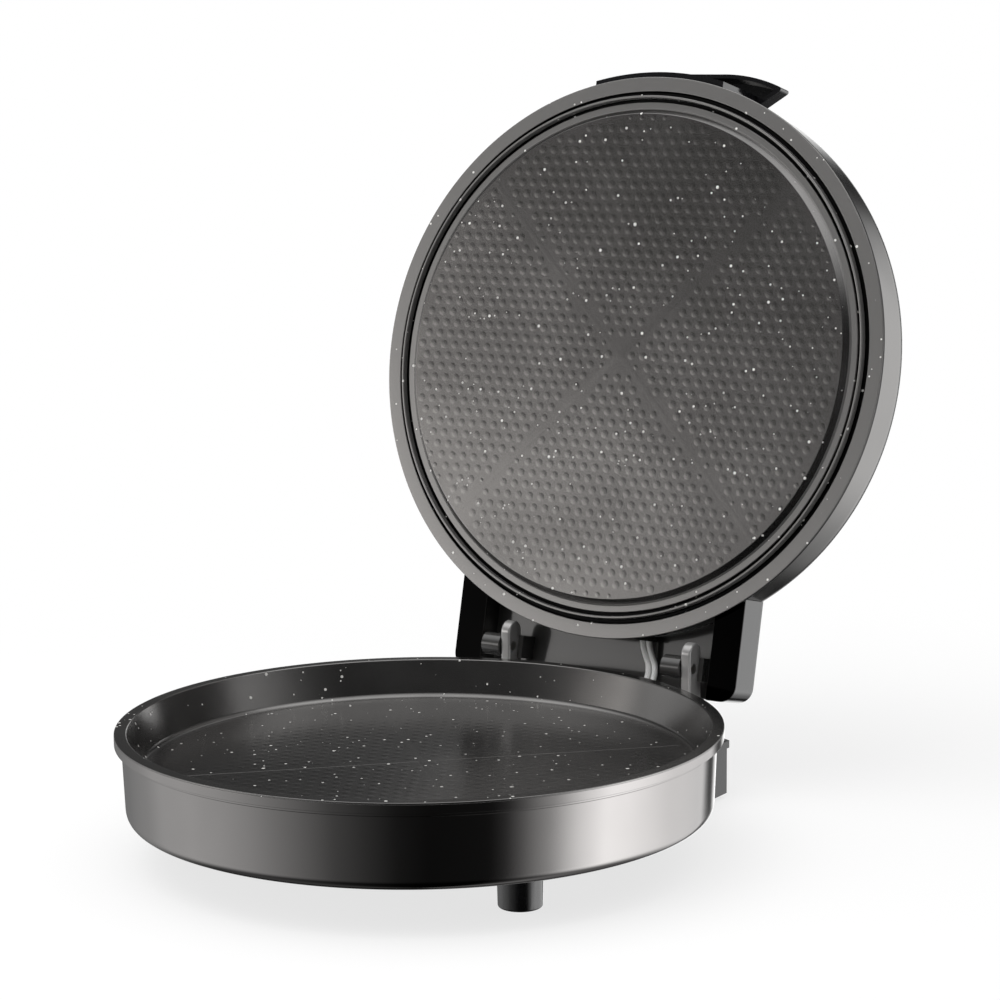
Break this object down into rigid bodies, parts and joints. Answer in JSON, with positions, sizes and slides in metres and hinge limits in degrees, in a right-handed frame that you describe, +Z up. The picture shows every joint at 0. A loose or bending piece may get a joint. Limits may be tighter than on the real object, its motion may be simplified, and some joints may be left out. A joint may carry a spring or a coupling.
{
  "type": "pizza maker",
  "caption": "Round countertop pizza maker: shallow non-stick pan base on front feet and a rear stand, with a hinged domed heated lid shown open.",
  "frame": {"origin": "middle of the footprint of the appliance with its lid open, on the counter", "axes": "+X to the cook's right, +Y from the front to the hinge, +Z up; the rest pose has the lid open on its stop"},
  "size_m": [0.3474, 0.4891, 0.4295],
  "materials": {
    "shell_metal": "glossy dark gunmetal",
    "lid_metal": "semi-gloss warm grey metallic",
    "nonstick": "dark non-stick coating with pale specks",
    "heater_metal": "dull, heat tinted",
    "zinc_steel": "zinc plated",
    "bright_sheet": "bright rolled sheet",
    "black_plastic": "fine grain",
    "gloss_black": "gloss moulding",
    "black_rubber": "matt",
    "white_ceramic": "unglazed",
    "white_sleeve": "braided glass sleeve",
    "red_lens": "clear red",
    "lamp_glass": "clear neon bulb"
  },
  "bodies": {
    "base": {"base_shell": "shell_metal", "bottom_cover": "black_plastic", "lower_plate": "nonstick", "lower_heater": "heater_metal", "heater_clips": "zinc_steel", "lower_reflector": "bright_sheet", "support_posts": "zinc_steel", "cover_screws": "zinc_steel", "front_feet": "black_plastic", "front_foot_pads": "black_rubber", "foot_screws": "zinc_steel", "rear_stand": "black_plastic", "rear_pads": "black_rubber", "stand_screws": "zinc_steel", "hinge_ears": "gloss_black", "ear_screws": "zinc_steel", "hinge_pins": "zinc_steel", "terminal_block": "white_ceramic", "lower_thermostat": "white_ceramic", "thermal_fuse": "white_ceramic", "stand_grommet": "black_rubber", "cover_grommet": "black_rubber", "cord_gland": "black_rubber", "heater_leads": "white_sleeve", "base_wires": "white_sleeve"},
    "lid": {"lid_shell": "lid_metal", "upper_plate": "nonstick", "plate_clips": "zinc_steel", "upper_heater": "heater_metal", "upper_heater_clips": "zinc_steel", "upper_reflector": "bright_sheet", "reflector_studs": "zinc_steel", "upper_thermostat": "white_ceramic", "lid_terminal": "white_ceramic", "lid_wires": "white_sleeve", "lid_grommet": "black_rubber", "handle": "gloss_black", "handle_screws": "zinc_steel", "indicator_lenses": "red_lens", "indicator_lamps": "lamp_glass", "hinge_bracket": "gloss_black", "bracket_cover": "gloss_black", "bracket_screws": "zinc_steel", "bracket_cover_screws": "zinc_steel"}
  },
  "joints": [
    {"name": "lid_hinge", "type": "hinge", "parent": "base", "child": "lid", "pos_m": [0, 0.11046, 0.0773], "axis": [1, 0, 0], "range_deg": [0, 103.46], "deforming": ["heater_leads"]}
  ]
}
